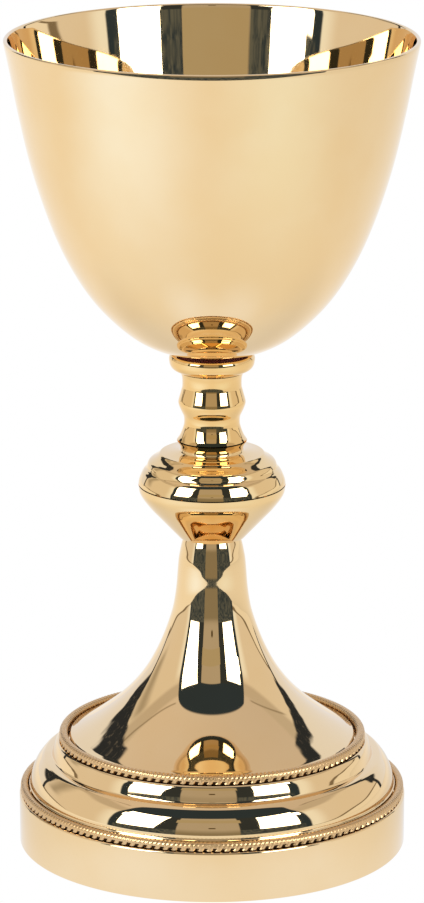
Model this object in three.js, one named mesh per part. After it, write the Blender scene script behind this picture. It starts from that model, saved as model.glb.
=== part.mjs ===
// Communion chalice, about 206 mm tall: a spun cup that unscrews from a stem and foot made of
// separate spun and turned pieces, all pulled together by one tie rod.
// Millimetres, +Z up, origin at the centre of the underside of the foot.
import * as THREE from "three";

// ---- Driving dimensions ------------------------------------------------------------------
const HEIGHT = 206; // foot to rim of the cup
const CUP_RIM_RADIUS = 51;
const FOOT_RADIUS = 48.9;
const DRUM_TOP = 12.9; // height of the plain band round the foot
const STEP_TOP = 26.7; // top of the moulding that stands on the drum
const SEAM_Z = 79.8; // joint between the foot's column and the knop
const EQUATOR_Z = 93.4; // widest height of the knop
const KNOP_RADIUS = 18.4;
const NECK_Z = 104.9; // joint between the knop and the neck
const COLLAR_Z = 122.4; // joint between the neck and the collar
const BOWL_Z = 128; // underside of the cup
const SHEET = 1; // thickness of the spun brass
const GAP = 0.3; // space between pieces that touch

const DRUM_WALL = 1.2; // thickness of the band round the foot
const BEAD_RADIUS = 1.07; // beaded wires of the foot
const LOWER_BEADS = { radius: 47.55, z: DRUM_TOP + BEAD_RADIUS + GAP };
const UPPER_BEADS = { radius: 37.65, z: STEP_TOP + BEAD_RADIUS + GAP };

// The M6 tie rod and everything on its axis.
const ROD_RADIUS = 3;
const ROD_BOTTOM = 47;
const ROD_TOP = 123;
const ROD_HOLE = ROD_RADIUS + GAP;
const BOSS_RADIUS = 5;
const BOSS_BOTTOM = 113;
const COUNTERBORE = BOSS_RADIUS + GAP;
const COLUMN_FLOOR = SEAM_Z - GAP - 3; // underside of the column's thick top
const KNOP_FLOOR = SEAM_Z + DRUM_WALL; // floor inside the knop
const BORE_FLOOR = 108; // bottom of the neck's bore
const SEAT_Z = 124.4; // seat of the leather washer in the collar

const LARGE = 36; // facets round the widest pieces
const MEDIUM = 32; // facets round the flare, knop and collar
const SMALL = 24; // facets round the narrow pieces
const HEX = 6;

// ---- Finishes ----------------------------------------------------------------------------
const finish = (color, roughness) => new THREE.MeshStandardMaterial({ color, roughness, metalness: 1 });
const gilt = () => finish("#e6bd78", 0.06);
const giltSatin = () => finish("#eccb92", 0.2);
const rawBrass = () => finish("#b8934a", 0.4);
const steel = () => finish("#b4b6b8", 0.35);
const leather = () => new THREE.MeshStandardMaterial({ color: "#6b2f1c", roughness: 0.8, metalness: 0 });

const chalice = new THREE.Group();

// ---- Shaping -----------------------------------------------------------------------------
const point = (r, z) => new THREE.Vector2(r, z);
const points = (pairs) => pairs.map(([r, z]) => point(r, z));
const smooth = (pairs, count) => new THREE.SplineCurve(points(pairs)).getPoints(count);

function arc(r, z, radius, fromDegrees, toDegrees, steps) {
  const from = THREE.MathUtils.degToRad(fromDegrees);
  const to = THREE.MathUtils.degToRad(toDegrees);
  return new THREE.EllipseCurve(r, z, radius, radius, from, to, to < from).getPoints(steps);
}

// Turns a closed outline in (radius, height) round the Z axis; it may start and end on the axis.
function turned(name, outline, material, facets = LARGE) {
  const closed = outline[0].x === 0 ? outline : [...outline, outline[0]];
  if (THREE.ShapeUtils.area(closed) < 0) closed.reverse();
  const geometry = new THREE.LatheGeometry(closed, facets).rotateX(Math.PI / 2);
  const mesh = new THREE.Mesh(geometry, material);
  mesh.name = name;
  chalice.add(mesh);
}

// The same line, moved sideways by a distance: to the left of its direction of travel.
function offset(line, distance) {
  return line.map((p, i) => {
    const along = line[Math.min(i + 1, line.length - 1)].clone().sub(line[Math.max(i - 1, 0)]).normalize();
    return point(p.x - along.y * distance, p.y + along.x * distance);
  });
}

// A flat shape pushed upwards, with its upper face at the height top.
function extruded(name, shape, depth, top, material) {
  const geometry = new THREE.ExtrudeGeometry(shape, { depth, bevelEnabled: false, curveSegments: 10 });
  const mesh = new THREE.Mesh(geometry, material);
  mesh.name = name;
  mesh.position.z = top - depth;
  chalice.add(mesh);
}

// A plain washer, sleeve or disc.
function ring(name, inner, outer, bottom, top, material, facets = SMALL) {
  turned(name, points([[outer, bottom], [outer, top], [inner, top], [inner, bottom]]), material, facets);
}

// ---- Foot --------------------------------------------------------------------------------
// Plain band with a turned-in hem that stands on the table and a shelf for the beads.
function footDrum() {
  const edge = 0.6;
  const lip = 44.9; // inner radius of the hem and of the shelf
  const inside = FOOT_RADIUS - DRUM_WALL;
  turned("foot_drum", [
    point(lip, 0),
    ...arc(FOOT_RADIUS - edge, edge, edge, -90, 0, 2),
    ...arc(FOOT_RADIUS - edge, DRUM_TOP - edge, edge, 0, 90, 2),
    ...points([[lip, DRUM_TOP], [lip, DRUM_TOP - SHEET], [inside, DRUM_TOP - SHEET]]),
    ...points([[inside, DRUM_WALL], [lip, DRUM_WALL]]),
  ], giltSatin());
}

function beadedWire(name, { radius, z }) {
  turned(name, arc(radius, z, BEAD_RADIUS, 0, 315, 7), gilt());
}

// Ovolo with a small lip at its foot, a ledge, and a slightly leaning wall with a shelf for the upper beads.
function stepMoulding() {
  const lip = points([[46, DRUM_TOP + GAP], [46, 14.7], [46.45, 15.05], [46.15, 15.45]]);
  const ovolo = smooth([[46.1, 15.65], [45.75, 17.6], [45, 19.4], [43.95, 21.1], [42.55, 22.5]], 6);
  const ledge = points([[42.2, 22.6], [41, 22.6], [40.6, 22.8]]);
  const wall = smooth([[40.5, 23], [40.1, 24.35], [39.6, 25.75], [39.25, 26.45]], 3);
  const inside = points([
    [38.9, STEP_TOP], [34.5, STEP_TOP], [34.5, STEP_TOP - SHEET], [38.2, STEP_TOP - SHEET], [38.9, 22.3],
    [40.4, 21.5], [42.9, 20.3], [44.3, 18], [44.9, 15.6], [44.9, DRUM_TOP + GAP],
  ]);
  turned("step_moulding", [...lip, ...ovolo, ...ledge, ...wall, ...inside], gilt());
}

// Trumpet from the upper beads up to the column, which narrows a little to where the knop sits on it.
function trumpet(count) {
  return smooth([
    [35.3, 28.4], [30, 31.75], [24.8, 35.7], [20.4, 40], [16.85, 44.6], [14.1, 49.5],
    [11.9, 54.6], [10.2, 59.8], [8.9, 67.2], [8.4, 73.6], [7.15, SEAM_Z - GAP],
  ], count);
}

function footFlare() {
  const lip = points([[35.3, STEP_TOP + GAP], [36.1, 27.6], [35.9, 28.2]]);
  const outer = trumpet(13);
  const inner = offset(outer, SHEET).slice(1, -2).reverse();
  turned("foot_flare", [
    ...lip, ...outer,
    point(ROD_HOLE, SEAM_Z - GAP), point(ROD_HOLE, COLUMN_FLOOR), point(6.9, COLUMN_FLOOR),
    ...inner, point(34.6, STEP_TOP + GAP),
  ], gilt(), MEDIUM);
}

// Closing disc, dished up in the middle and held inside the drum above the hem.
function basePlate() {
  const rim = FOOT_RADIUS - DRUM_WALL - GAP;
  const low = DRUM_WALL + GAP;
  const high = low + 4;
  const under = points([[8, high], [14, high], [20, low], [rim, low]]);
  turned("base_plate", [...under, ...offset(under, SHEET).reverse()], rawBrass());
}

// ---- Fastening inside the foot's column --------------------------------------------------
const PLUG = { bottom: 60, top: 68 };
const WASHER = 1.2;
const SPRING = 1.6;
const COLUMN_NUT = { flats: 10, height: 5 };
const NECK_NUT = { flats: 8.4, height: 3 };

// Tapered plug that seats in the narrowing column and takes the pull of the rod.
function columnPlug() {
  turned("column_plug", points([
    [9.1, PLUG.bottom], [8.4, 63.5], [7.7, PLUG.top], [ROD_HOLE, PLUG.top], [ROD_HOLE, PLUG.bottom],
  ]), rawBrass(), SMALL);
}

// Split spring washer, cut by leaving out a few degrees of the ring.
function springWasher(top) {
  const opening = THREE.MathUtils.degToRad(12);
  const outer = 5.2;
  const shape = new THREE.Shape();
  shape.absarc(0, 0, outer, opening / 2, 2 * Math.PI - opening / 2, false);
  shape.absarc(0, 0, ROD_HOLE, 2 * Math.PI - opening / 2, opening / 2, true);
  extruded("spring_washer", shape, SPRING, top, steel());
}

function hexNut(name, { flats, height }, top) {
  const corner = flats / Math.sqrt(3);
  const shape = new THREE.Shape();
  for (let side = 0; side < HEX; side++) {
    const angle = (side * 2 * Math.PI) / HEX;
    const corners = [corner * Math.cos(angle), corner * Math.sin(angle)];
    if (side === 0) shape.moveTo(...corners);
    else shape.lineTo(...corners);
  }
  shape.closePath();
  shape.holes.push(new THREE.Path().absarc(0, 0, ROD_HOLE, 0, 2 * Math.PI, true));
  extruded(name, shape, height, top, steel());
}

function columnFastening() {
  columnPlug();
  const washerTop = PLUG.bottom - GAP;
  const springTop = washerTop - WASHER - GAP;
  const nutTop = springTop - SPRING - GAP;
  ring("flat_washer", ROD_HOLE, 6.2, washerTop - WASHER, washerTop, steel());
  springWasher(springTop);
  hexNut("column_nut", COLUMN_NUT, nutTop);
}

function tieRod() {
  const chamfer = 0.6;
  const tip = ROD_RADIUS - chamfer;
  turned("tie_rod", points([
    [0, ROD_BOTTOM], [tip, ROD_BOTTOM], [ROD_RADIUS, ROD_BOTTOM + chamfer],
    [ROD_RADIUS, ROD_TOP - chamfer], [tip, ROD_TOP], [0, ROD_TOP],
  ]), steel(), SMALL);
}

// ---- Knop --------------------------------------------------------------------------------
// Cone under the equator, with a floor that rests on the column.
function knopLower() {
  const top = EQUATOR_Z - GAP / 2;
  turned("knop_lower", points([
    [8.3, SEAM_Z], [14.5, 86.4], [16.7, 89], [17.6, 90.3], [18.2, 91.6], [KNOP_RADIUS, top],
    [17.3, top], [16.3, 91.3], [13.6, 87.3], [8.2, KNOP_FLOOR], [ROD_HOLE, KNOP_FLOOR], [ROD_HOLE, SEAM_Z],
  ]), gilt(), MEDIUM);
}

// Rounded shoulder, a rounded step, a slope up to a flat ledge, and a small cove under the neck's seat.
function knopUpper() {
  const bottom = EQUATOR_Z + GAP / 2;
  const top = NECK_Z - GAP;
  const shoulder = smooth([[KNOP_RADIUS, bottom], [18.05, 94.95], [17.45, 96.3], [16.6, 97.35]], 5);
  const step = points([[16.25, 97.95], [16.1, 98.5], [15.9, 98.95], [15.2, 99.65]]);
  const ledge = points([[14.2, 100.25], [13.5, 100.8], [12.85, 101.46]]);
  const cove = smooth([[8.5, 101.75], [7.87, 102.35], [8, 103.3], [8.7, 104.15]], 5);
  const seat = points([[8.85, 104.35], [8.75, top]]);
  const inside = points([
    [6.6, top], [6.6, 100.8], [10.4, 100.4], [11.6, 99.4], [14.1, 97.4], [16.1, 95.4], [17.3, bottom],
  ]);
  turned("knop_upper", [...shoulder, ...step, ...ledge, ...cove, ...seat, ...inside], gilt(), MEDIUM);
}

// Sleeve round the rod that carries the pull past the thin shells of the knop.
const knopSpacer = () => ring("knop_spacer", ROD_HOLE, 5.6, KNOP_FLOOR + GAP, NECK_Z - GAP, rawBrass());

// ---- Neck --------------------------------------------------------------------------------
// Waisted sleeve with one turned ring; it is bored out from the top for the cup's boss.
function neckSleeve() {
  const foot = smooth([[8.6, NECK_Z], [8.03, 105.75], [7.5, 107], [6.97, 108.85]], 5);
  const waist = points([[6.93, 110], [7.1, 111], [7.6, 112.1], [8.2, 113.5]]);
  const bulge = points([[8.4, 114.5], [8.3, 115.1], [8.05, 116], [7.41, 118.35]]);
  const top = points([[7.38, 119.6], [7.48, 120.9], [7.85, COLLAR_Z - GAP]]);
  const bore = points([
    [COUNTERBORE, COLLAR_Z - GAP], [COUNTERBORE, BORE_FLOOR], [ROD_HOLE, BORE_FLOOR], [ROD_HOLE, NECK_Z],
  ]);
  turned("neck_sleeve", [...foot, ...waist, ...bulge, ...top, ...bore], gilt(), SMALL);
}

// Thin nut at the bottom of the bore: it keeps the stem together while the cup is off.
const neckNut = () => hexNut("neck_nut", NECK_NUT, BORE_FLOOR + GAP + NECK_NUT.height);

// Dished flange that the cup sits down into.
function collar() {
  const outside = smooth([[8.4, COLLAR_Z], [9.85, 123.2], [10.5, 124.2], [10.7, 125.4]], 5);
  const lip = arc(9.2, 125.6, 1.5, 2, 42, 3);
  const inside = points([
    [10.1, 126.7], [9.9, 126.5], [9.7, 125.5], [9.1, SEAT_Z + 0.2],
    [COUNTERBORE, SEAT_Z], [COUNTERBORE, COLLAR_Z],
  ]);
  turned("collar", [...outside, ...lip, ...inside], gilt(), MEDIUM);
}

const sealWasher = () => ring("seal_washer", COUNTERBORE, 8.8, SEAT_Z + GAP, BOWL_Z - GAP, leather());

// ---- Cup ---------------------------------------------------------------------------------
const WALL = 1.1; // thickness of the cup

function bowlLine(count) {
  return smooth([
    [13, 128.3], [20.2, 132], [29.5, 141], [37.75, 155], [44.9, 176],
    [49.5, 198], [CUP_RIM_RADIUS, HEIGHT - WALL / 2],
  ], count);
}

// One spun shell: outside up, round the lip, and back down the inside to the axis.
function cupBowl() {
  const outside = bowlLine(13);
  const inside = offset(outside, WALL).reverse();
  const lip = point(CUP_RIM_RADIUS - WALL / 2, HEIGHT);
  const flat = 9; // radius of the flat that sits on the leather
  const under = points([[0, BOWL_Z], [flat, BOWL_Z]]);
  const bottom = points([[flat, BOWL_Z + WALL], [0, BOWL_Z + WALL]]);
  turned("cup_bowl", [...under, ...outside, lip, ...inside, ...bottom], giltSatin());
}

// Tapped boss soldered under the cup: it reaches down the neck and screws onto the rod.
function cupBoss() {
  const top = BOWL_Z - GAP;
  const roof = ROD_TOP + GAP + 1;
  turned("cup_boss", points([
    [0, roof], [ROD_HOLE, roof], [ROD_HOLE, BOSS_BOTTOM],
    [BOSS_RADIUS, BOSS_BOTTOM], [BOSS_RADIUS, top], [0, top],
  ]), rawBrass(), SMALL);
}

footDrum();
beadedWire("lower_bead_ring", LOWER_BEADS);
stepMoulding();
beadedWire("upper_bead_ring", UPPER_BEADS);
footFlare();
basePlate();
columnFastening();
tieRod();
knopLower();
knopUpper();
knopSpacer();
neckSleeve();
neckNut();
collar();
sealWasher();
cupBowl();
cupBoss();

export default chalice;
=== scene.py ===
"""Communion chalice: fine turned surfaces, beaded wires and gold-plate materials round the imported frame."""
import math

import bmesh
import bpy
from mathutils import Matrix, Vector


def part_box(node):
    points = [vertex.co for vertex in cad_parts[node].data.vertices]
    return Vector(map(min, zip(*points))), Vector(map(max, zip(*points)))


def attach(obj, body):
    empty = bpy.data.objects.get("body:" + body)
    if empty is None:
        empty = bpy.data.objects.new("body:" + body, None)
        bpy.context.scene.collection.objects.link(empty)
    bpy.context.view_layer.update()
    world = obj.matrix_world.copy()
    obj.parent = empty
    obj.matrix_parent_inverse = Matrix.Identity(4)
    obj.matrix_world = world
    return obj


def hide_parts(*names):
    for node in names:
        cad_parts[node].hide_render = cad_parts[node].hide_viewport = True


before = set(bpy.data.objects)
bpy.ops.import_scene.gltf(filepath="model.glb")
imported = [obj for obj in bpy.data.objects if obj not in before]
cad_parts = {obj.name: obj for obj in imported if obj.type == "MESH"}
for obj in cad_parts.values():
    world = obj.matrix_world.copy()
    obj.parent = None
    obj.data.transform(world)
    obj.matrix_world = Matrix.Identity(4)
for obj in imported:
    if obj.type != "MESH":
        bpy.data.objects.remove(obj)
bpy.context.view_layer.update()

STEM = "stem_and_foot"
CUP = "cup"


# ---- Camera ---------------------------------------------------------------------------------
CAMERA_DISTANCE = 1.1433  # from the axis, level
CAMERA_HEIGHT = 0.4070
CAMERA_PITCH = math.radians(14.96)  # downwards
CAMERA_LENS = 189.0  # millimetres, on a sensor 36 mm long


def add_camera():
    data = bpy.data.cameras.new("camera")
    data.lens = CAMERA_LENS
    data.sensor_width = 36
    camera = bpy.data.objects.new("camera", data)
    camera.location = (0, -CAMERA_DISTANCE, CAMERA_HEIGHT)
    camera.rotation_euler = (math.pi / 2 - CAMERA_PITCH, 0, 0)
    bpy.context.collection.objects.link(camera)
    bpy.context.scene.camera = camera
    bpy.context.scene.view_settings.view_transform = "Standard"


# ---- Node helpers ---------------------------------------------------------------------------
class Nodes:
    """Short calls for building a node tree. Every call returns an output socket."""

    def __init__(self, tree):
        self.tree = tree

    def add(self, kind, **settings):
        node = self.tree.nodes.new(kind)
        for name, value in settings.items():
            setattr(node, name, value)
        return node

    def plug(self, socket, value):
        if isinstance(value, bpy.types.NodeSocket):
            self.tree.links.new(value, socket)
        else:
            socket.default_value = value

    def math(self, operation, a, b=0.0, clamp=False):
        node = self.add("ShaderNodeMath", operation=operation, use_clamp=clamp)
        self.plug(node.inputs[0], a)
        self.plug(node.inputs[1], b)
        return node.outputs[0]

    def ramp(self, value, low, high, to_low=0.0, to_high=1.0):
        """Rises smoothly from to_low to to_high as value goes from low to high."""
        node = self.add("ShaderNodeMapRange", interpolation_type="SMOOTHSTEP")
        for name, number in zip(("Value", "From Min", "From Max", "To Min", "To Max"),
                                (value, low, high, to_low, to_high)):
            self.plug(node.inputs[name], number)
        return node.outputs["Result"]

    def between(self, value, low, high, soft):
        """1 from low to high and 0 outside, with edges as wide as soft."""
        rise = self.ramp(value, low - soft / 2, low + soft / 2)
        fall = self.ramp(value, high - soft / 2, high + soft / 2, 1.0, 0.0)
        return self.math("MULTIPLY", rise, fall)

    def layer(self, below, value, mask):
        """below where mask is 0 and value where mask is 1."""
        node = self.add("ShaderNodeMix", data_type="FLOAT")
        self.plug(node.inputs[0], mask)
        self.plug(node.inputs[2], below)
        self.plug(node.inputs[3], value)
        return node.outputs[0]

    def blend(self, a, b, mask):
        node = self.add("ShaderNodeMix", data_type="RGBA")
        self.plug(node.inputs["Factor"], mask)
        self.plug(node.inputs[6], a)
        self.plug(node.inputs[7], b)
        return node.outputs[2]

    def glow(self, base, colour, strength):
        """base with strength times colour added."""
        node = self.add("ShaderNodeMix", data_type="RGBA", blend_type="ADD")
        self.plug(node.inputs["Factor"], strength)
        self.plug(node.inputs[6], base)
        node.inputs[7].default_value = (*colour, 1)
        return node.outputs[2]

    def noise(self, vector, scale, detail=2.0, roughness=0.5):
        node = self.add("ShaderNodeTexNoise")
        self.plug(node.inputs["Vector"], vector)
        node.inputs["Scale"].default_value = scale
        node.inputs["Detail"].default_value = detail
        node.inputs["Roughness"].default_value = roughness
        return node.outputs["Fac"]


# ---- Studio ---------------------------------------------------------------------------------
# What the polished gold reflects. Angles in degrees: azimuth 0 is towards the camera, positive to
# its right. Colours are brightness, so they can be over 1.
CEILING_LEFT = (0.76, 0.71, 0.70)
CEILING_RIGHT = (0.66, 0.61, 0.60)
CORNICE = (0.60, 0.56, 0.53)  # strip between the ceiling and the side walls
WALL = (0.82, 0.79, 0.77)
WALL_NEAR_WINDOWS = (0.98, 1.06, 1.18)
WALL_SHADE = (0.46, 0.43, 0.39)
BACKDROP = (0.88, 0.94, 1.10)
SEAM = (0.24, 0.20, 0.15)
FLOOR = (0.94, 0.94, 0.94)
BLACK_CLOTH = (0.028, 0.035, 0.05)
CLOTH_WISP = (0.16, 0.16, 0.17)
ARCH = (0.030, 0.048, 0.075)  # dark frame round the softboxes
STAND = (0.036, 0.046, 0.058)
UNDER_WINDOWS = (0.13, 0.15, 0.16)
SOFTBOX = (7.0, 7.4, 8.0)
CARD = (0.49, 0.45, 0.40)  # grey card between the softboxes
CARD_FOOT = (0.28, 0.25, 0.19)
LENS = (0.09, 0.06, 0.02)  # hole in the card for the camera
# Cool light that the softboxes throw on the table: place, reach and colour.
TABLE_GLOWS = (
    ((-0.32, -0.24, 0), 0.36, (0.10, 0.27, 0.60)),
    ((0.24, -0.28, 0), 0.30, (0.06, 0.16, 0.26)),
    ((-0.038, -0.060, 0), 0.062, (0.05, 0.11, 0.26)),
    ((0.042, -0.060, 0), 0.062, (0.04, 0.09, 0.22)),
    ((0, 0, 0), 0.16, (0.02, 0.05, 0.12)),
)
# Nearby lower parts of the softboxes and card, for the inside of the cup: colour and two edges.
PANELS = {
    "right_panel": (SOFTBOX, (0.257, -0.408), (0.418, -0.247)),
    "left_panel": (SOFTBOX, (-0.289, -0.387), (-0.424, -0.243)),
    "card_panel": ((0.47, 0.42, 0.31), (-0.185, -0.44), (0.15, -0.45)),
}
PANEL_FOOT, PANEL_TOP = 0.266, 0.345


class Sky:
    """Layers of colour by direction."""

    def __init__(self, n):
        self.n = n
        self.place = n.add("ShaderNodeTexCoord").outputs["Generated"]
        split = n.add("ShaderNodeSeparateXYZ")
        n.plug(split.inputs[0], self.place)
        self.x, y, z = split.outputs
        self.azimuth = n.math("DEGREES", n.math("ARCTAN2", self.x, n.math("MULTIPLY", y, -1.0)))
        self.elevation = n.math("DEGREES", n.math("ARCSINE", z))
        self.side = n.math("ABSOLUTE", self.azimuth)
        self.colour = n.blend((*CEILING_LEFT, 1), (*CEILING_RIGHT, 1), n.ramp(self.x, -0.8, 0.8))

    def cover(self, colour, *masks):
        """Lays colour where every mask is 1."""
        mask = masks[0]
        for more in masks[1:]:
            mask = self.n.math("MULTIPLY", mask, more)
        colour = colour if isinstance(colour, bpy.types.NodeSocket) else (*colour, 1)
        self.colour = self.n.blend(self.colour, colour, mask)

    def across(self, low, high, soft=1.0):
        return self.n.between(self.azimuth, low, high, soft)

    def up(self, low, high, soft=1.0):
        return self.n.between(self.elevation, low, high, soft)

    def out(self, low, high, soft=1.0):
        """Between two azimuths on both sides."""
        return self.n.between(self.side, low, high, soft)


def walls(sky):
    n = sky.n
    sky.cover(CORNICE, sky.up(-90, 46, 3.0))
    sky.cover(WALL, sky.up(-90, 37, 4.0))
    sky.cover(WALL_NEAR_WINDOWS, sky.out(60, 74, 12.0), sky.up(-90, 32, 8.0))
    sky.cover(WALL_SHADE, sky.across(-128, -116, 12.0), sky.up(8, 36, 6.0))
    sky.cover(BACKDROP, sky.out(134, 200, 6.0), sky.up(-90, 44, 2.0))
    # Long creases where the walls meet the ceiling, dropping towards the back.
    far = n.math("MAXIMUM", n.math("SUBTRACT", sky.side, 70.0), 0.0)
    left_line = n.math("ADD", sky.elevation, n.math("MULTIPLY", far, 0.11))
    right_line = n.math("ADD", sky.elevation, n.math("MULTIPLY", n.math("POWER", far, 2.0), 0.0042))
    sky.cover(SEAM, n.between(left_line, 50.0, 50.7, 1.4), sky.across(-135, -72, 4.0))
    sky.cover(SEAM, n.between(right_line, 47.0, 47.7, 1.4), sky.across(76, 122, 8.0))
    # The room's floor and the dark line along its far edge, higher on the right.
    left_edge = n.ramp(sky.side, 64, 134, -3.5, 0.0)
    right_edge = n.math("ADD", n.ramp(sky.side, 64, 104, -1.0, 4.5), n.ramp(sky.side, 104, 134, 0.0, 4.0))
    over_edge = n.math("SUBTRACT", sky.elevation, n.layer(left_edge, right_edge, n.ramp(sky.azimuth, -1, 1)))
    sky.cover(FLOOR, sky.out(62, 134), n.ramp(over_edge, -0.5, 0.5, 1.0, 0.0))
    sky.cover(SEAM, sky.out(62, 134, 2.0), n.between(over_edge, -0.7, 1.0, 0.8))
    # Folds of black cloth at the edges of the backdrop.
    ragged = n.math("MULTIPLY", n.math("SUBTRACT", n.noise(sky.place, 9.0, 2.0, 0.5), 0.5), 6.0)
    edge = n.math("ADD", sky.side, ragged)
    wisps = n.ramp(n.noise(sky.place, 34.0, 3.0, 0.7), 0.56, 0.72)
    cloth = n.blend((*BLACK_CLOTH, 1), (*CLOTH_WISP, 1), wisps)
    sky.cover(cloth, n.between(edge, 131, 145, 2.0), sky.across(-175, -90), sky.up(9, 49, 3.0))
    sky.cover(cloth, n.between(edge, 129.5, 138, 2.0), sky.across(90, 175), sky.up(14, 48, 3.0))
    sky.cover(cloth, sky.out(131.5, 134.5, 1.0), sky.up(-5, 16, 1.0))
    cap = n.math("ADD", sky.elevation, n.math("MULTIPLY", ragged, 0.3))
    sky.cover(cloth, n.between(cap, 41, 49, 1.5), sky.out(134, 153, 3.0))


def front(sky):
    """Dark arch towards the camera, with two softboxes and a grey card between them."""
    n = sky.n
    wide, springing, rise = 67.5, 46.0, 22.0
    bow = n.math("SUBTRACT", 1.0, n.math("POWER", n.math("DIVIDE", sky.side, wide), 2.0), True)
    crown = n.math("MULTIPLY", n.math("SQRT", bow), rise)
    inside = n.ramp(n.math("SUBTRACT", sky.elevation, crown), springing - 1, springing + 1, 1.0, 0.0)
    sky.cover(ARCH, inside, sky.across(-wide, wide - 3, 1.5))
    sky.cover(STAND, sky.out(-10, 34, 1.0), sky.up(-90, 43, 1.0))
    # The sill of the softboxes looks lower towards the sides, and everything under it is dim.
    sill = n.math("ADD", sky.elevation, n.math("MULTIPLY", n.math("POWER", sky.side, 2.0), 0.0014))
    streaks = n.ramp(n.noise(sky.place, 26.0, 3.0, 0.6), 0.35, 0.65)
    under = n.blend((*ARCH, 1), (*UNDER_WINDOWS, 1), streaks)
    sky.cover(under, sky.across(-64, 60, 2.0), n.between(sill, -90, 14.3, 1.0))
    over_sill = n.ramp(sill, 14.3, 15.3)
    under_top = n.math("SUBTRACT", 42.0, sky.elevation)
    left_lean = n.ramp(n.math("ADD", sky.azimuth, n.math("MULTIPLY", under_top, 0.22)), -31, -30, 1.0, 0.0)
    right_lean = n.math("ADD", sky.azimuth, n.math("MULTIPLY", under_top, 0.06))
    sky.cover(SOFTBOX, sky.across(-61.5, -28), left_lean, sky.up(0, 42.5), over_sill)
    sky.cover(SOFTBOX, n.between(right_lean, 32, 58.5, 1.0), sky.up(0, 40), over_sill)
    card_light = n.blend((*CARD_FOOT, 1), (*CARD, 1), n.ramp(sky.elevation, 8, 17))
    top = n.math("ADD", sky.elevation, n.math("MULTIPLY", n.math("POWER", sky.side, 2.0), 0.004))
    sky.cover(card_light, sky.across(-22.5, 17.5), n.between(top, -60, 44.5, 1.0), sky.up(-8, 90))
    sky.cover(LENS, sky.across(-2.2, 2.2), sky.up(18.2, 20.6, 1.2))


def make_studio():
    world = bpy.data.worlds.new("studio")
    bpy.context.scene.world = world
    world.use_nodes = True
    tree = world.node_tree
    tree.nodes.clear()
    n = Nodes(tree)
    sky = Sky(n)
    walls(sky)
    front(sky)
    seen = n.add("ShaderNodeLightPath").outputs["Is Camera Ray"]
    sky.cover((1, 1, 1), seen)
    background = n.add("ShaderNodeBackground")
    n.plug(background.inputs["Color"], sky.colour)
    output = n.add("ShaderNodeOutputWorld")
    n.plug(output.inputs[0], background.outputs[0])


def add_table():
    """A plain white table that gives its own even light, as an over-exposed one does."""
    left, right, front_edge, back_edge, top = -1.3, 1.3, -0.45, 1.7, -0.0004
    near = [(left, front_edge, top), (right, front_edge, top)]
    far = [(right, back_edge, top), (left, back_edge, top)]
    mesh = bpy.data.meshes.new("table")
    mesh.from_pydata([*near, *far], [], [(0, 1, 2, 3)])
    mesh.materials.append(table_white())
    table = bpy.data.objects.new("table", mesh)
    bpy.context.collection.objects.link(table)


def table_white():
    """Nearly even light that dips behind the foot, with the softboxes' cool glows added."""
    material = bpy.data.materials.new("table_white")
    material.use_nodes = True
    tree = material.node_tree
    tree.nodes.clear()
    n = Nodes(tree)
    place = n.add("ShaderNodeTexCoord").outputs["Object"]
    split = n.add("ShaderNodeSeparateXYZ")
    n.plug(split.inputs[0], place)
    x, y = split.outputs[:2]
    even = n.math("MULTIPLY_ADD", x, -0.13)
    even.node.inputs[2].default_value = 0.97
    near = n.add("ShaderNodeVectorMath", operation="LENGTH")
    n.plug(near.inputs[0], place)
    behind = n.ramp(y, -0.05, 0.08, 0.0, 0.15)
    close = n.ramp(near.outputs["Value"], 0.06, 0.24, 1.0, 0.0)
    shade = n.math("MULTIPLY", close, n.math("ADD", behind, 0.03))
    even = n.math("SUBTRACT", even, shade)
    light = n.blend((0, 0, 0, 1), (1, 1, 1, 1), even)
    for where, reach, colour in TABLE_GLOWS:
        away = n.add("ShaderNodeVectorMath", operation="DISTANCE")
        n.plug(away.inputs[0], place)
        away.inputs[1].default_value = where
        light = n.glow(light, colour, n.ramp(away.outputs["Value"], 0.0, reach, 1.0, 0.0))
    seen = n.add("ShaderNodeLightPath").outputs["Is Camera Ray"]
    emit = n.add("ShaderNodeEmission")
    n.plug(emit.inputs["Color"], n.blend(light, (1, 1, 1, 1), seen))
    output = n.add("ShaderNodeOutputMaterial")
    n.plug(output.inputs[0], emit.outputs[0])
    return material


def glowing(name, colour):
    material = bpy.data.materials.new(name)
    material.use_nodes = True
    tree = material.node_tree
    tree.nodes.clear()
    n = Nodes(tree)
    emit = n.add("ShaderNodeEmission")
    strength = max(colour)
    emit.inputs["Color"].default_value = (*(c / strength for c in colour), 1)
    emit.inputs["Strength"].default_value = strength
    output = n.add("ShaderNodeOutputMaterial")
    n.plug(output.inputs[0], emit.outputs[0])
    return material


def add_panels():
    for name, (colour, near, far) in PANELS.items():
        corners = [(*near, PANEL_FOOT), (*far, PANEL_FOOT), (*far, PANEL_TOP), (*near, PANEL_TOP)]
        mesh = bpy.data.meshes.new(name)
        mesh.from_pydata(corners, [], [(0, 1, 2, 3)])
        mesh.materials.append(glowing(name + "_light", colour))
        panel = bpy.data.objects.new(name, mesh)
        bpy.context.collection.objects.link(panel)
        panel.visible_camera = False
        panel.visible_diffuse = False
        panel.visible_shadow = False


# ---- Turning --------------------------------------------------------------------------------
SEGMENTS = 224  # round every fine turned piece
CREASE = 28  # degrees between faces from which an edge looks sharp
BEAD_CREASE = 50
SAME_POINT = 1e-7  # metres


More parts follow.
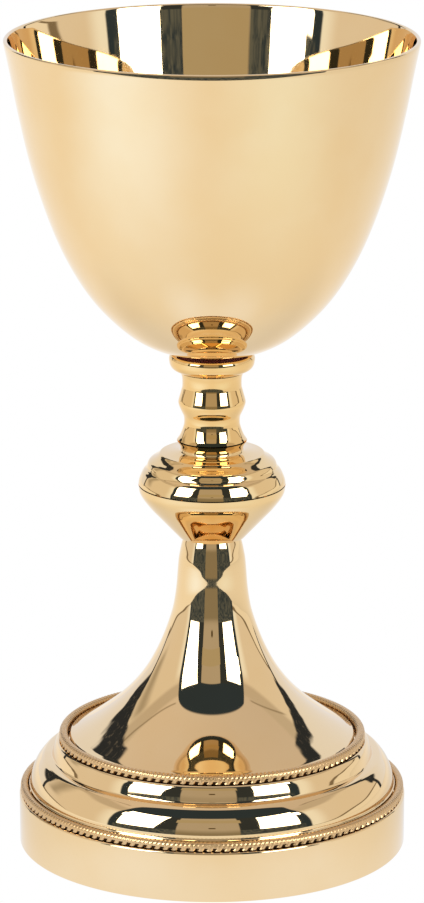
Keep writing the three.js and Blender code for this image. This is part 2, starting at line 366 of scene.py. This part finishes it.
def lathe_mesh(name, outline, segments):
    """Turns an outline in (radius, height) round Z. Points on the axis become one vertex each."""
    vertices, rows = [], []
    for radius, height in outline:
        first = len(vertices)
        if radius == 0:
            vertices.append((0, 0, height))
            rows.append([first] * segments)
            continue
        for step in range(segments):
            angle = 2 * math.pi * step / segments
            vertices.append((radius * math.sin(angle), -radius * math.cos(angle), height))
        rows.append(list(range(first, first + segments)))
    faces = []
    for low, high in zip(rows, rows[1:]):
        for step in range(segments):
            after = (step + 1) % segments
            corners = [low[step], low[after], high[after], high[step]]
            faces.append(list(dict.fromkeys(corners)))
    mesh = bpy.data.meshes.new(name)
    mesh.from_pydata(vertices, [], [f for f in faces if len(f) > 2])
    mesh.update()
    return mesh


def curve(points, steps):
    """A smooth line through points, with steps pieces between each two."""
    before = [2 * a - b for a, b in zip(points[0], points[1])]
    beyond = [2 * a - b for a, b in zip(points[-1], points[-2])]
    all_points = [before, *points, beyond]
    line = []
    for i in range(1, len(all_points) - 2):
        nearby = list(zip(*all_points[i - 1:i + 3]))
        for step in range(steps):
            line.append(tuple(catmull_rom(step / steps, *values) for values in nearby))
    return [*line, tuple(points[-1])]


def catmull_rom(t, a, b, c, d):
    """The value between b and c at t, 0 to 1, with a before them and d after."""
    linear = c - a
    square = 2 * a - 5 * b + 4 * c - d
    cube = 3 * b - a - 3 * c + d
    return 0.5 * (2 * b + linear * t + square * t ** 2 + cube * t ** 3)


def arc(radius, height, size, start, end, steps=10):
    """Part of a circle round (radius, height), from start to end in degrees."""
    turn = [math.radians(start + (end - start) * i / steps) for i in range(steps + 1)]
    return [(radius + size * math.cos(a), height + size * math.sin(a)) for a in turn]


def offset(line, distance):
    """The line moved to the left of its direction by distance."""
    moved = []
    for i, (r, z) in enumerate(line):
        (r0, z0), (r1, z1) = line[max(i - 1, 0)], line[min(i + 1, len(line) - 1)]
        length = math.hypot(r1 - r0, z1 - z0)
        moved.append((r - (z1 - z0) / length * distance, z + (r1 - r0) / length * distance))
    return moved


def fitted(outline, node):
    """The outline, drawn in millimetres, stretched to the height and radius of a CAD node."""
    low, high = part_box(node)
    radii = [r for r, z in outline]
    heights = [z for r, z in outline]
    across = (high.x - low.x) / 2 / max(radii)
    up = (high.z - low.z) / (max(heights) - min(heights))
    return [(r * across, low.z + (z - min(heights)) * up) for r, z in outline]


def turned(name, node, body, outline, material):
    """A fine turned piece that stands for a CAD node. The outline is closed, drawn anticlockwise."""
    on_axis = outline[0][0] == 0
    line = fitted(outline if on_axis else [*outline, outline[0]], node)
    mesh = lathe_mesh(name, line, SEGMENTS)
    piece = bpy.data.objects.new(name, mesh)
    bpy.context.collection.objects.link(piece)
    mesh.materials.append(material)
    merge_and_smooth(piece, CREASE)
    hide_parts(node)
    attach(piece, body)


def merge_and_smooth(piece, crease):
    """Merges doubled points, turns all faces outwards and leaves only real creases sharp."""
    work = bmesh.new()
    work.from_mesh(piece.data)
    bmesh.ops.remove_doubles(work, verts=work.verts, dist=SAME_POINT)
    bmesh.ops.recalc_face_normals(work, faces=work.faces)
    work.to_mesh(piece.data)
    work.free()
    piece.data.shade_smooth()
    piece.data.set_sharp_from_angle(angle=math.radians(crease))


# ---- Materials ------------------------------------------------------------------------------
def gold(name, colour, roughness):
    """Polished metal with slow changes of tint and polish."""
    material = bpy.data.materials.new(name)
    material.use_nodes = True
    tree = material.node_tree
    shader = tree.nodes["Principled BSDF"]
    n = Nodes(tree)
    place = n.add("ShaderNodeTexCoord").outputs["Object"]
    cloud = n.noise(place, 45.0, 3.0)
    warm = tuple(c * f for c, f in zip(colour, (0.99, 0.965, 0.92)))
    tint = n.blend((*colour, 1), (*warm, 1), n.ramp(cloud, 0.35, 0.65))
    n.plug(shader.inputs["Base Color"], tint)
    shader.inputs["Metallic"].default_value = 1.0
    wear = n.noise(place, 120.0, 3.0)
    n.plug(shader.inputs["Roughness"], n.ramp(wear, 0.3, 0.7, roughness * 0.9, roughness * 1.1))
    return material


def leather(name, colour):
    """Fine-grained leather, a little worn on the high parts of the grain."""
    material = bpy.data.materials.new(name)
    material.use_nodes = True
    shader = material.node_tree.nodes["Principled BSDF"]
    n = Nodes(material.node_tree)
    place = n.add("ShaderNodeTexCoord").outputs["Object"]
    grain = n.noise(place, 700.0, 3.0)
    worn = tuple(c * 1.3 for c in colour)
    n.plug(shader.inputs["Base Color"], n.blend((*colour, 1), (*worn, 1), n.ramp(grain, 0.35, 0.7)))
    shader.inputs["Roughness"].default_value = 0.5
    bump = n.add("ShaderNodeBump")
    bump.inputs["Strength"].default_value = 0.05
    bump.inputs["Distance"].default_value = 0.0001
    n.plug(bump.inputs["Height"], grain)
    n.plug(shader.inputs["Normal"], bump.outputs[0])
    return material


GOLD = (0.88, 0.65, 0.36)
NECK_GOLD = (0.89, 0.60, 0.26)  # the plate is a little deeper towards the neck
KNOP_GOLD = (0.885, 0.63, 0.31)
BEAD_GOLD = (0.68, 0.45, 0.22)
PAINTED_SLOT_SHADE = (0.035, 0.018, 0.008)  # painted shade, nearly black, in the slots of the beads


# ---- The pieces -----------------------------------------------------------------------------
def foot_drum(mirror):
    edge = 0.6
    wall = 1.2
    hem, radius, top = 44.8, 48.9, 12.9
    outline = [
        (hem, 0), *arc(radius - edge, edge, edge, -90, 0, 8), *arc(radius - edge, top - edge, edge, 0, 90, 8),
        (45, top), (45, top - 1), (radius - wall, top - 1), (radius - wall, wall), (hem, wall),
    ]
    turned("foot_drum_fine", "foot_drum", STEM, outline, mirror)


def step_moulding(mirror):
    wall = [(40.51, 23), (40.32, 23.65), (40.11, 24.35), (39.88, 25.05), (39.6, 25.76), (39.25, 26.44)]
    outline = [
        (46, 13.2), (46, 14.7), (46.45, 15.05), *curve([(46.4, 15.15), (46.2, 15.3), (46.1, 15.6)], 4),
        *curve([(46.1, 15.65), (45.98, 16.65), (45.4, 18.5), (44.5, 20.3), (43.25, 21.9), (42.55, 22.5)], 6),
        (42.3, 22.6), (41, 22.6), (40.75, 22.65), (40.6, 22.8),
        *curve(wall, 4),
        (38.9, 26.7), (34.5, 26.7), (34.5, 25.7), (38.2, 25.7), (38.9, 22.3),
        (40.4, 21.5), (42.9, 20.3), (44.3, 18), (44.9, 15.6), (44.9, 13.2),
    ]
    turned("step_moulding_fine", "step_moulding", STEM, outline, mirror)


def foot_flare(mirror):
    trumpet = curve([
        (35.3, 28.4), (30, 31.75), (24.8, 35.7), (20.4, 40), (16.85, 44.6), (14.1, 49.5), (11.9, 54.6),
        (10.2, 59.7), (9.47, 63), (8.93, 67), (8.6, 71.3), (8.35, 74), (8.0, 76), (7.62, 77.8), (7.15, 79.5),
    ], 6)
    inside = offset(trumpet, 1.0)[4:-12][::-1]
    outline = [
        (35.3, 27), (35.95, 27.4), (36.1, 27.7), (36.05, 28), (35.8, 28.25), *trumpet,
        (3.3, 79.5), (3.3, 76.5), (6.9, 76.5), *inside, (34.6, 27),
    ]
    turned("foot_flare_fine", "foot_flare", STEM, outline, mirror)


def knop_lower(mirror):
    belly = [(15.6, 87.6), (16.7, 89), (17.6, 90.3), (18.2, 91.6), (18.4, 93.25)]
    outline = [
        (8.3, 79.8), (14.5, 86.4), *curve(belly, 5),
        (17.3, 93.25), (16.3, 91.3), (13.6, 87.3), (8.2, 81), (3.3, 81), (3.3, 79.8),
    ]
    turned("knop_lower_fine", "knop_lower", STEM, outline, mirror)


def knop_upper(mirror):
    shoulder = [(18.4, 93.55), (18.27, 94.25), (18.05, 94.95), (17.45, 96.3), (17.0, 96.96), (16.6, 97.35)]
    step = [(16.25, 97.95), (16.1, 98.5), (15.9, 98.95), (15.6, 99.35), (15.2, 99.65)]
    slope = [(15.05, 99.75), (14.2, 100.25), (13.5, 100.8), (13.05, 101.3), (12.85, 101.46)]
    cove = [(8.5, 101.75), (8.1, 101.95), (7.87, 102.35), (7.85, 102.8), (8.0, 103.35), (8.35, 103.95)]
    outline = [
        *curve(shoulder, 5), *curve(step, 4), *curve(slope, 5), *curve(cove, 4), (8.6, 104.3), (8.75, 104.6),
        (6.6, 104.6), (6.6, 100.8), (10.4, 100.4), (11.6, 99.4), (14.1, 97.4), (16.1, 95.4), (17.3, 93.55),
    ]
    turned("knop_upper_fine", "knop_upper", STEM, outline, mirror)


def neck_sleeve(mirror):
    outline = [
        *curve([(8.6, 104.9), (8.03, 105.75), (7.5, 107), (7.17, 108), (6.98, 108.8)], 5),
        *curve([(6.96, 108.9), (6.93, 110), (7.1, 111), (7.6, 112.1)], 6),
        *curve([(7.6, 112.1), (8.05, 113.1), (8.32, 113.9), (8.4, 114.5), (8.3, 115.1)], 5),
        *curve([(8.3, 115.1), (8.05, 116), (7.77, 117), (7.5, 118), (7.42, 118.3)], 4),
        *curve([(7.4, 118.4), (7.38, 119.6), (7.48, 120.9), (7.85, 122.1)], 5),
        (5.3, 122.1), (5.3, 108), (3.3, 108), (3.3, 104.9),
    ]
    turned("neck_sleeve_fine", "neck_sleeve", STEM, outline, mirror)


def collar(mirror):
    outline = [
        *curve([(8.4, 122.4), (9.85, 123.2), (10.5, 124.2), (10.7, 125.4)], 6),
        *arc(9.2, 125.6, 1.5, 2, 42, 8),
        (10.1, 126.7), *curve([(9.9, 126.5), (9.7, 125.5), (9.1, 124.6)], 6),
        (5.3, 124.4), (5.3, 122.4),
    ]
    turned("collar_fine", "collar", STEM, outline, mirror)


BOWL = [
    (13, 128.3), (16.2, 129.6), (20.2, 132), (24.9, 136), (29.5, 141), (33.6, 147),
    (37.75, 155), (41.6, 165), (44.9, 176), (47.6, 188), (49.5, 198), (51, 205.45),
]
CUP_WALL = 1.1


def cup_bowl(mirror):
    outside = curve(BOWL, 8)
    inside = offset(outside, CUP_WALL)[::-1]
    (inner_r, inner_z), (outer_r, outer_z) = inside[0], outside[-1]
    lip = arc((inner_r + outer_r) / 2, (inner_z + outer_z) / 2, CUP_WALL / 2, 0, 180, 8)[1:-1]
    outline = [(0, 128), (9, 128), *outside, *lip, *inside, (9, 129.15), (0, 129.1)]
    turned("cup_bowl_fine", "cup_bowl", CUP, outline, mirror)


# A beaded wire is round on top and straight below, with leaning ridges on top and deep slots along
# its foot. Places in its section are in halves of its height.
ROUND_TOP = [(math.cos(a), math.sin(a)) for a in (math.pi * i / 12 for i in range(13))]
STRAIGHT_FOOT = [(-1, -1), (0, -1), (1, -1), (1, -0.6), (1, -0.45), (1, -0.3)]
WIRE_SECTION = ROUND_TOP + STRAIGHT_FOOT
SLOT_SIDES = range(len(WIRE_SECTION) - 4, len(WIRE_SECTION) - 1)  # the outer sides of the foot
SLOT_TOP = -0.4
RIDGE_STEPS = 10  # steps round the ring for each ridge
SLOT_STEPS = range(3, 7)  # the steps of a ridge that its slot takes
SLOT_DEPTH = 0.42  # parts of the wire's half width
GROOVE_DEPTH = 0.10
RIDGE_LEAN = 0.3  # parts of a ridge's width


def cut_depth(step, up):
    """How deep the wire is cut at a step round the ring, at a place in its section."""
    phase = 2 * math.pi * step / RIDGE_STEPS
    if up < SLOT_TOP:
        wave = (1 - math.cos(phase)) / 2
        return SLOT_DEPTH * min(max((wave - 0.3) / 0.4, 0), 1)
    return GROOVE_DEPTH * ((1 - math.cos(2 * phase)) / 2) ** 2


def wire_points(ring, size, middle, steps):
    """Points of a wire of half height size, bent into a ring round Z at the height middle."""
    points = []
    for step in range(steps):
        for across, up in WIRE_SECTION:
            depth = cut_depth(step, up)
            radius = ring + size * across * (1 - depth)
            height = middle + size * up * (1 - depth * (up > 0))
            turn = 2 * math.pi * (step + RIDGE_LEAN * RIDGE_STEPS * up) / steps
            points.append((radius * math.sin(turn), -radius * math.cos(turn), height))
    return points


def wire_faces(steps):
    """The wire's faces, and for each of them whether it lies in a slot."""
    faces, in_slot = [], []
    sides = len(WIRE_SECTION)
    for step in range(steps):
        here, ahead = step * sides, (step + 1) % steps * sides
        for side in range(sides):
            after = (side + 1) % sides
            faces.append((here + side, ahead + side, ahead + after, here + after))
            in_slot.append(step % RIDGE_STEPS in SLOT_STEPS and side in SLOT_SIDES)
    return faces, in_slot


def beaded_wire(name, node, ridges, materials):
    """A wire that stands for a plain CAD ring. Its second material paints shade into the slots."""
    low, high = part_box(node)
    size = (high.z - low.z) / 2
    ring = (high.x - low.x) / 2 - size
    middle = (low.z + high.z) / 2
    steps = ridges * RIDGE_STEPS
    faces, in_slot = wire_faces(steps)
    mesh = bpy.data.meshes.new(name)
    mesh.from_pydata(wire_points(ring, size, middle, steps), [], faces)
    for material in materials:
        mesh.materials.append(material)
    for face, dark in zip(mesh.polygons, in_slot):
        face.material_index = int(dark)
    piece = bpy.data.objects.new(name, mesh)
    bpy.context.collection.objects.link(piece)
    merge_and_smooth(piece, BEAD_CREASE)
    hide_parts(node)
    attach(piece, STEM)


def repaint(names, material):
    """Gives CAD nodes a better material."""
    for name in names:
        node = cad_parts[name]
        node.data.materials.clear()
        node.data.materials.append(material)


# ---- Everything -----------------------------------------------------------------------------
add_camera()
make_studio()
add_table()
add_panels()
mirror_gold = gold("mirror_gold", GOLD, 0.03)
neck_gold = gold("neck_gold", NECK_GOLD, 0.03)
knop_gold = gold("knop_gold", KNOP_GOLD, 0.03)
bead_gold = gold("bead_gold", BEAD_GOLD, 0.3)
# Painted shade for the slots of the beaded wires.
painted_slot_shade = gold("painted_slot_shade", PAINTED_SLOT_SHADE, 0.5)
red_leather = leather("red_leather", (0.12, 0.012, 0.003))
plain_brass = gold("plain_brass", (0.55, 0.37, 0.13), 0.35)
steel = gold("steel", (0.55, 0.56, 0.57), 0.3)
foot_drum(mirror_gold)
step_moulding(mirror_gold)
foot_flare(mirror_gold)
knop_lower(knop_gold)
knop_upper(knop_gold)
neck_sleeve(neck_gold)
collar(neck_gold)
cup_bowl(mirror_gold)
beaded_wire("lower_beads", "lower_bead_ring", 139, [bead_gold, painted_slot_shade])
beaded_wire("upper_beads", "upper_bead_ring", 110, [bead_gold, painted_slot_shade])
repaint(["base_plate", "column_plug", "knop_spacer", "cup_boss"], plain_brass)
repaint(["seal_washer"], red_leather)
repaint(["flat_washer", "spring_washer", "column_nut", "tie_rod", "neck_nut"], steel)
